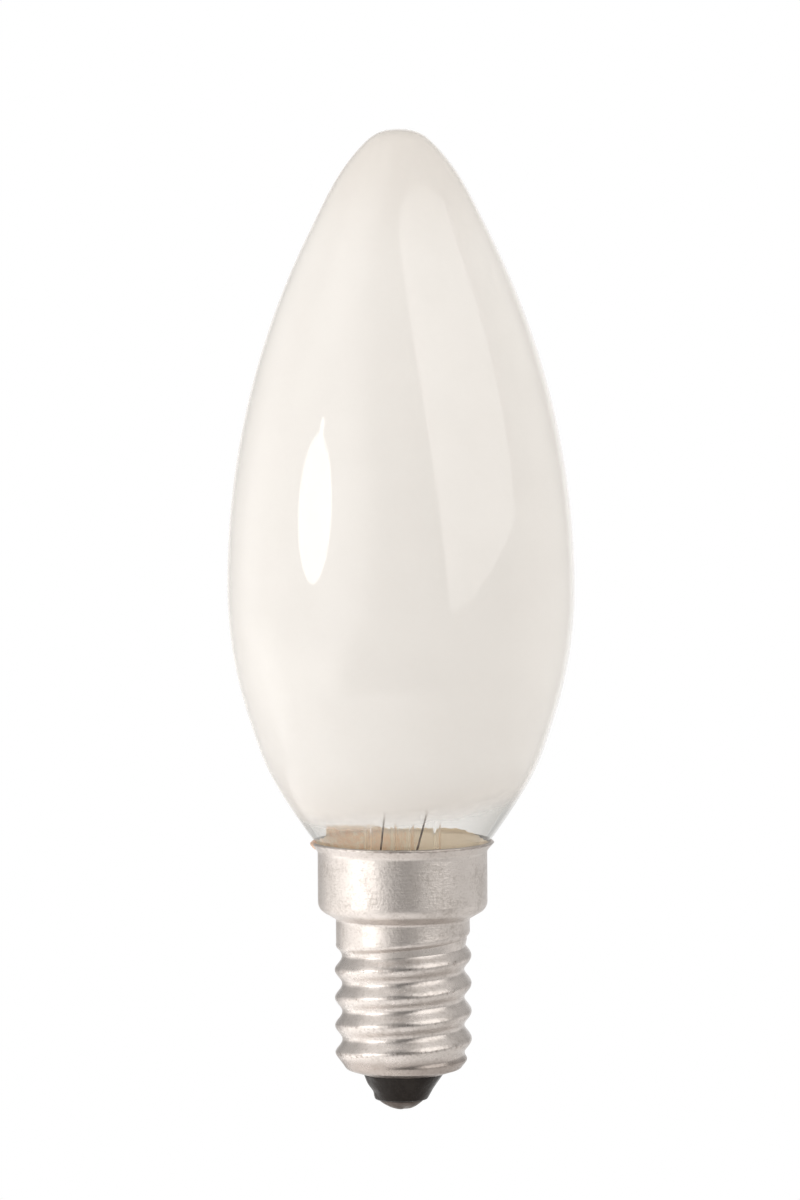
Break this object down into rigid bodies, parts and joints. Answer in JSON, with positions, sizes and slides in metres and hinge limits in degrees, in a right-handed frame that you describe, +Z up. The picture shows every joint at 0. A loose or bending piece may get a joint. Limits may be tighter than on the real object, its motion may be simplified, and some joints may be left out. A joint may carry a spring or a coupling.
{
  "type": "candle bulb",
  "caption": "Flame-shaped bulb of white coated glass, clear at the neck, cemented into a small screw cap with a flared skirt and a centre contact; screws into a lampholder.",
  "frame": {"origin": "tip of the centre contact, on the bulb's axis", "axes": "+Z up the axis to the tip of the glass; -Y towards the camera; the side lead meets the lip on -X"},
  "size_m": [0.035, 0.035, 0.099],
  "materials": {
    "coated_glass": "glossy outside, white coat inside that fades out at the neck",
    "clear_glass": "clear, fire polished",
    "lead_wire": "drawn wire",
    "filament_wire": "drawn wire, dull",
    "leadout_wire": "oxidised drawn wire",
    "cap_sheet": "satin, finely speckled",
    "rim_solder": "satin, copper coloured",
    "cement": "matt, streaked",
    "black_glass": "glossy, opaque",
    "contact_brass": "satin",
    "tip_solder": "dull, worn"
  },
  "bodies": {
    "root": {"glass_envelope": "coated_glass", "stem_flare": "clear_glass", "exhaust_tube": "clear_glass", "support_rod": "clear_glass", "inner_lead_side": "lead_wire", "inner_lead_centre": "lead_wire", "filament": "filament_wire", "filament_supports": "filament_wire", "leadout_side": "leadout_wire", "leadout_centre": "leadout_wire", "cap_shell": "cap_sheet", "rim_weld": "rim_solder", "cap_cement": "cement", "cap_insulator": "black_glass", "contact_plate": "contact_brass", "contact_solder": "tip_solder"}
  },
  "joints": []
}
